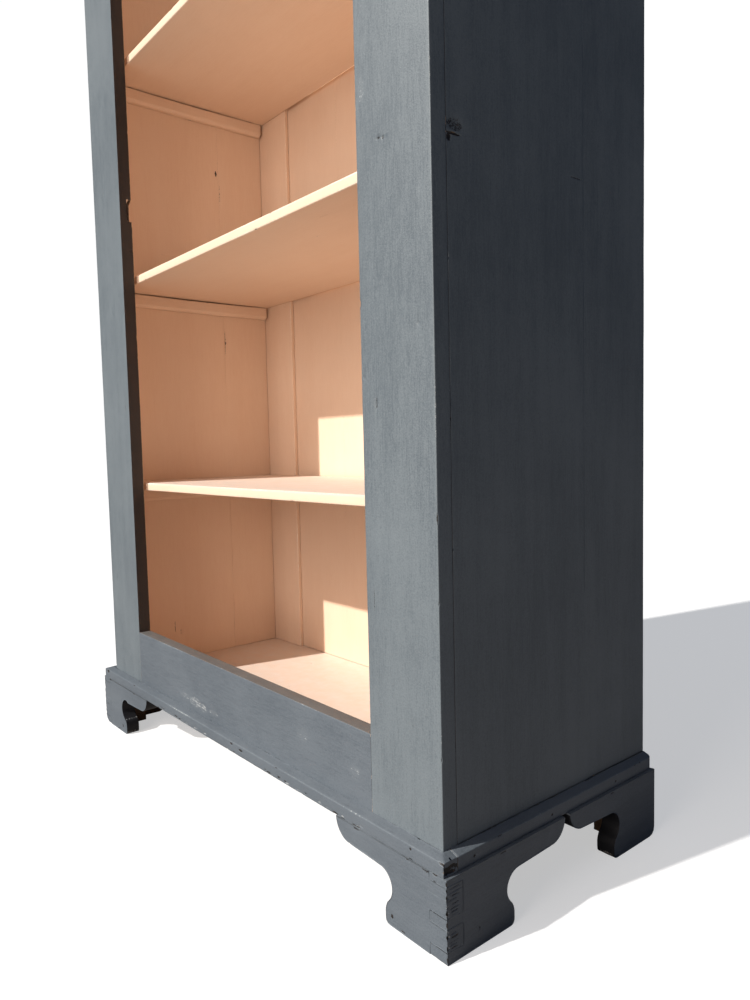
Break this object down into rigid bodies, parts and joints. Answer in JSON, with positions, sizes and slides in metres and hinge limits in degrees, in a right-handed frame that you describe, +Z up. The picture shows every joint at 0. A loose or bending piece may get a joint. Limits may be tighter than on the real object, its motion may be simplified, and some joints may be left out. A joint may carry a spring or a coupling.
{
  "type": "bookcase",
  "caption": "Tall painted open bookcase: face frame over a shallow carcass, loose shelves on cleats, base moulding and shaped bracket feet.",
  "frame": {"origin": "on the ground under the middle of the bounding box", "axes": "+Z up, -Y towards the open front, +X to the right seen from the front"},
  "size_m": [0.988, 0.423, 1.734],
  "materials": {
    "slate_paint": "brushed slate-blue chalky paint over old pine",
    "inside_paint": "matt salmon-pink paint over old pine",
    "bare_pine": "unpainted aged pine",
    "steel": "dull oxidised"
  },
  "bodies": {
    "carcass": {"back_board_1": "inside_paint", "back_board_2": "inside_paint", "back_board_3": "inside_paint", "back_board_4": "inside_paint", "back_rail_bottom": "bare_pine", "back_rail_middle": "bare_pine", "back_rail_top": "bare_pine", "back_screws": "steel", "back_stile_left": "inside_paint", "back_stile_right": "inside_paint", "base_moulding_front": "slate_paint", "base_moulding_left": "slate_paint", "base_moulding_right": "slate_paint", "bottom_rail": "slate_paint", "cleat_1_left": "inside_paint", "cleat_1_right": "inside_paint", "cleat_2_left": "inside_paint", "cleat_2_right": "inside_paint", "cleat_3_left": "inside_paint", "cleat_3_right": "inside_paint", "cleat_nails": "steel", "corner_block_front_left": "bare_pine", "corner_block_front_right": "bare_pine", "corner_block_rear_left": "bare_pine", "corner_block_rear_right": "bare_pine", "cornice_front": "slate_paint", "cornice_left": "slate_paint", "cornice_right": "slate_paint", "floor_board": "inside_paint", "front_bracket_left": "slate_paint", "front_bracket_right": "slate_paint", "glue_blocks": "bare_pine", "left_side_back_board": "slate_paint", "left_side_front_board": "slate_paint", "left_stile": "slate_paint", "moulding_nails": "steel", "rear_brace_left": "bare_pine", "rear_brace_right": "bare_pine", "right_side_back_board": "slate_paint", "right_side_front_board": "slate_paint", "right_stile": "slate_paint", "side_bracket_front_left": "slate_paint", "side_bracket_front_right": "slate_paint", "side_bracket_rear_left": "slate_paint", "side_bracket_rear_right": "slate_paint", "top_board": "slate_paint", "top_rail": "slate_paint"},
    "shelf_1": {"shelf_1": "inside_paint"},
    "shelf_2": {"shelf_2": "inside_paint"},
    "shelf_3": {"shelf_3": "inside_paint"}
  },
  "joints": [
    {"name": "shelf_1_lift", "type": "slide", "parent": "carcass", "child": "shelf_1", "axis": [0, 0, 1], "range_m": [0, 0.3]},
    {"name": "shelf_2_lift", "type": "slide", "parent": "carcass", "child": "shelf_2", "axis": [0, 0, 1], "range_m": [0, 0.3]},
    {"name": "shelf_3_lift", "type": "slide", "parent": "carcass", "child": "shelf_3", "axis": [0, 0, 1], "range_m": [0, 0.3]}
  ]
}
